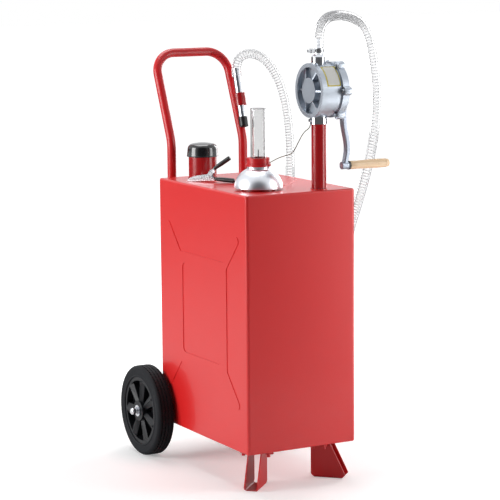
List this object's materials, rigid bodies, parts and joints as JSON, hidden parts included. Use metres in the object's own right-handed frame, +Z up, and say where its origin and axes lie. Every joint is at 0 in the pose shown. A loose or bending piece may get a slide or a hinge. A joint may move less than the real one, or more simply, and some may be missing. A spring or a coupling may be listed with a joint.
{
  "type": "fuel caddy",
  "caption": "Wheeled steel fuel tank with a push handle, capped filler neck, float gauge, hand-cranked rotary pump, clear hose with nozzle, and earthing lead with a clip.",
  "frame": {"origin": "bottom centre of the box round the rigid object, on the ground", "axes": "+Z up, +Y from the bare front panel back to the handle and wheels, +X to the right of someone who faces the front panel"},
  "size_m": [0.6033, 0.73, 1.3156],
  "materials": {
    "tank_paint": "gloss red powder coat",
    "frame_paint": "gloss red powder coat",
    "tube_paint": "gloss deep red paint",
    "plated_steel": "zinc plated",
    "chrome": "bright plated",
    "tyre_rubber": "matt",
    "wheel_plastic": "satin black moulding",
    "pale_plastic": "natural moulding",
    "black_rubber": "matt",
    "cap_plastic": "gloss black moulding",
    "clear_plastic": "clear gloss tube",
    "needle_wire": "black wire",
    "float_plastic": "hollow moulding",
    "cast_alloy": "satin cast",
    "rotor_iron": "machined",
    "vane_plastic": "laminate",
    "grip_wood": "turned and lacquered",
    "black_plastic": "satin",
    "clear_hose": "clear with a wire helix in the wall",
    "lead_sheath": "olive sheath"
  },
  "bodies": {
    "caddy": {"tank_shell": "tank_paint", "tank_top": "tank_paint", "tank_bottom": "tank_paint", "foot_studs": "frame_paint", "axle": "plated_steel", "axle_retainers": "chrome", "handle": "tube_paint", "handle_spacers": "black_rubber", "handle_bolts": "plated_steel", "nozzle_holder": "tube_paint", "filler_neck": "tube_paint", "gauge_base": "tube_paint", "gauge_dome": "chrome", "gauge_collar": "tube_paint", "gauge_tube": "clear_plastic", "gauge_stem": "plated_steel", "riser_pipe": "tube_paint", "suction_pipe": "plated_steel", "suction_strainer": "pale_plastic", "inlet_sleeve": "chrome", "lead_lug": "chrome", "pump_body": "cast_alloy", "pump_cover": "cast_alloy", "cover_bolts": "plated_steel", "packing_nut": "plated_steel", "outlet_fitting": "chrome", "hose_clamp": "plated_steel", "foot_left": "frame_paint", "axle_bracket_left": "frame_paint", "foot_right": "frame_paint", "axle_bracket_right": "frame_paint", "nozzle_tube": "chrome", "nozzle_tip": "black_rubber", "clip_jaw_lower": "chrome", "clip_sleeve_lower": "black_rubber", "clip_pin": "plated_steel", "clip_spring": "plated_steel", "hose": "clear_hose", "ground_wire": "lead_sheath"},
    "wheel_left": {"tyre_left": "tyre_rubber", "wheel_centre_left": "wheel_plastic", "wheel_bush_left": "pale_plastic"},
    "wheel_right": {"tyre_right": "tyre_rubber", "wheel_centre_right": "wheel_plastic", "wheel_bush_right": "pale_plastic"},
    "cap_seal": {"cap_gasket": "black_rubber"},
    "cap": {"filler_cap": "cap_plastic"},
    "crank": {"pump_rotor": "rotor_iron", "pump_vanes": "vane_plastic", "pump_shaft": "plated_steel", "crank_arm": "chrome", "crank_screw": "plated_steel", "grip_spindle": "plated_steel"},
    "crank_grip": {"grip": "grip_wood", "grip_ferrule": "black_plastic"},
    "float": {"float_arm": "plated_steel", "gauge_float": "float_plastic"},
    "needle": {"gauge_needle": "needle_wire"},
    "clip_upper": {"clip_jaw_upper": "chrome", "clip_sleeve_upper": "black_rubber"}
  },
  "joints": [
    {"name": "wheel_left_spin", "type": "hinge", "parent": "caddy", "child": "wheel_left", "pos_m": [-0.2209, 0.235, 0.13], "axis": [1, 0, 0], "continuous": true},
    {"name": "wheel_right_spin", "type": "hinge", "parent": "caddy", "child": "wheel_right", "pos_m": [0.1831, 0.235, 0.13], "axis": [1, 0, 0], "continuous": true},
    {"name": "cap_lift", "type": "slide", "parent": "caddy", "child": "cap_seal", "axis": [0, 0, 1], "range_m": [0, 0.06]},
    {"name": "cap_turn", "type": "hinge", "parent": "cap_seal", "child": "cap", "pos_m": [-0.0809, 0.138, 0.8665], "axis": [0, 0, 1], "continuous": true},
    {"name": "crank_turn", "type": "hinge", "parent": "caddy", "child": "crank", "pos_m": [0.0931, -0.28, 1.072], "axis": [1, 0, 0], "continuous": true},
    {"name": "grip_spin", "type": "hinge", "parent": "crank", "child": "crank_grip", "pos_m": [0.2109, -0.28, 0.865], "axis": [1, 0, 0], "continuous": true},
    {"name": "float_swing", "type": "hinge", "parent": "caddy", "child": "float", "pos_m": [-0.0839, -0.224, 0.455], "axis": [1, 0, 0], "range_deg": [0, 100]},
    {"name": "needle_rise", "type": "slide", "parent": "caddy", "child": "needle", "axis": [0, 0, 1], "range_m": [0, 0.0765]},
    {"name": "clip_open", "type": "hinge", "parent": "caddy", "child": "clip_upper", "pos_m": [-0.11529, 0.03347, 0.819], "axis": [0.8111, 0.585, 0], "range_deg": [0, 25], "stiffness_Nm_per_rad": 0.8, "springref_deg": -20.05}
  ],
  "couplings": [
    {"joint": "needle_rise", "follows": "float_swing", "m_per_rad": 0.043701}
  ]
}
